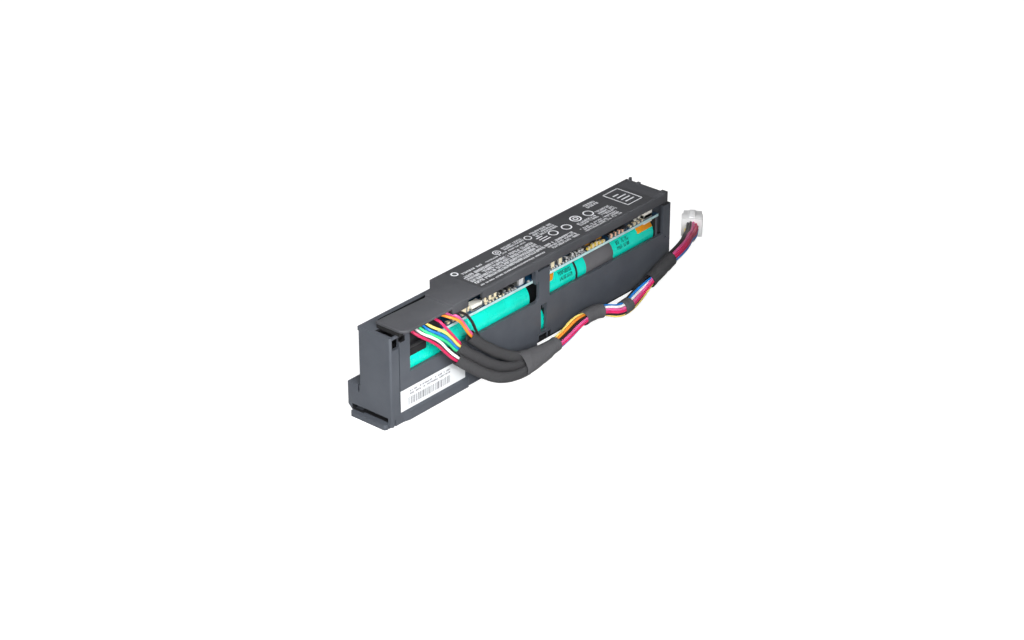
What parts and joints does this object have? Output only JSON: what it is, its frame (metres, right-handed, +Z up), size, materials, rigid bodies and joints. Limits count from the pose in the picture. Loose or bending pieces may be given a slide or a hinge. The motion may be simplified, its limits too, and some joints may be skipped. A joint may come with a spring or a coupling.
{
  "type": "raid battery module",
  "caption": "Slim backup battery module: a moulded tray of round cells under a circuit board and cover, with a wire harness that ends in a multi-way connector.",
  "frame": {"origin": "middle of the footprint of the module without its harness, on the surface it stands on", "axes": "+X along the tray from the wire end to the far end, +Y from the open front wall to the back, +Z up"},
  "size_m": [0.3052, 0.0515, 0.0619],
  "materials": {
    "tray_plastic": "satin, fine mould texture",
    "cover_plastic": "satin, fine mould texture",
    "dark_label": "printed film",
    "white_label": "printed paper",
    "board_laminate": "solder mask with a pale cut edge",
    "pale_component": "ceramic and moulded resin",
    "black_component": "moulded resin",
    "gold_component": "wound wire",
    "white_nylon": "moulded nylon",
    "cell_wrap": "shrunk film",
    "nickel_strip": "rolled",
    "black_wrap": "shrunk sleeve",
    "amber_tape": "polyimide film",
    "black_sleeving": "woven sleeve",
    "black_tape": "cloth tape",
    "wire_pink": "insulation",
    "wire_orange": "insulation",
    "wire_brown": "insulation",
    "wire_crimson": "insulation",
    "wire_yellow": "insulation",
    "wire_blue": "insulation",
    "wire_green": "insulation",
    "wire_white": "insulation",
    "wire_red": "insulation",
    "wire_black": "insulation"
  },
  "bodies": {
    "root": {"band_1": "black_tape", "band_2": "black_tape", "board_header": "black_component", "bundle_tape": "black_tape", "capacitor_1": "pale_component", "capacitor_2": "pale_component", "case_tray": "tray_plastic", "cell_1": "cell_wrap", "cell_2": "cell_wrap", "cell_3": "cell_wrap", "cell_4": "cell_wrap", "cell_5": "cell_wrap", "cell_6": "cell_wrap", "cell_7": "cell_wrap", "cell_8": "cell_wrap", "cell_link_1": "nickel_strip", "cell_link_2": "nickel_strip", "cell_link_3": "nickel_strip", "cell_link_4": "nickel_strip", "cell_ring": "black_wrap", "cell_sleeve": "black_wrap", "chip_resistors": "pale_component", "circuit_board": "board_laminate", "coil_1": "gold_component", "coil_2": "gold_component", "connector_housing": "white_nylon", "controller_chip": "black_component", "end_sleeve": "black_sleeving", "far_strap": "nickel_strip", "fuse_block": "pale_component", "harness_plug": "black_component", "middle_strap": "nickel_strip", "rating_label": "dark_label", "sense_socket": "white_nylon", "service_socket": "white_nylon", "shunt_block": "pale_component", "side_label": "white_label", "switch_chip_1": "black_component", "switch_chip_2": "black_component", "tape_pad_1": "amber_tape", "tape_pad_2": "amber_tape", "top_cover": "cover_plastic", "wire_black": "wire_black", "wire_blue": "wire_blue", "wire_brown": "wire_brown", "wire_crimson": "wire_crimson", "wire_green": "wire_green", "wire_orange": "wire_orange", "wire_pink": "wire_pink", "wire_red": "wire_red", "wire_sleeve_a": "black_sleeving", "wire_sleeve_b": "black_sleeving", "wire_sleeve_c": "black_sleeving", "wire_white": "wire_white", "wire_yellow": "wire_yellow"}
  },
  "joints": []
}
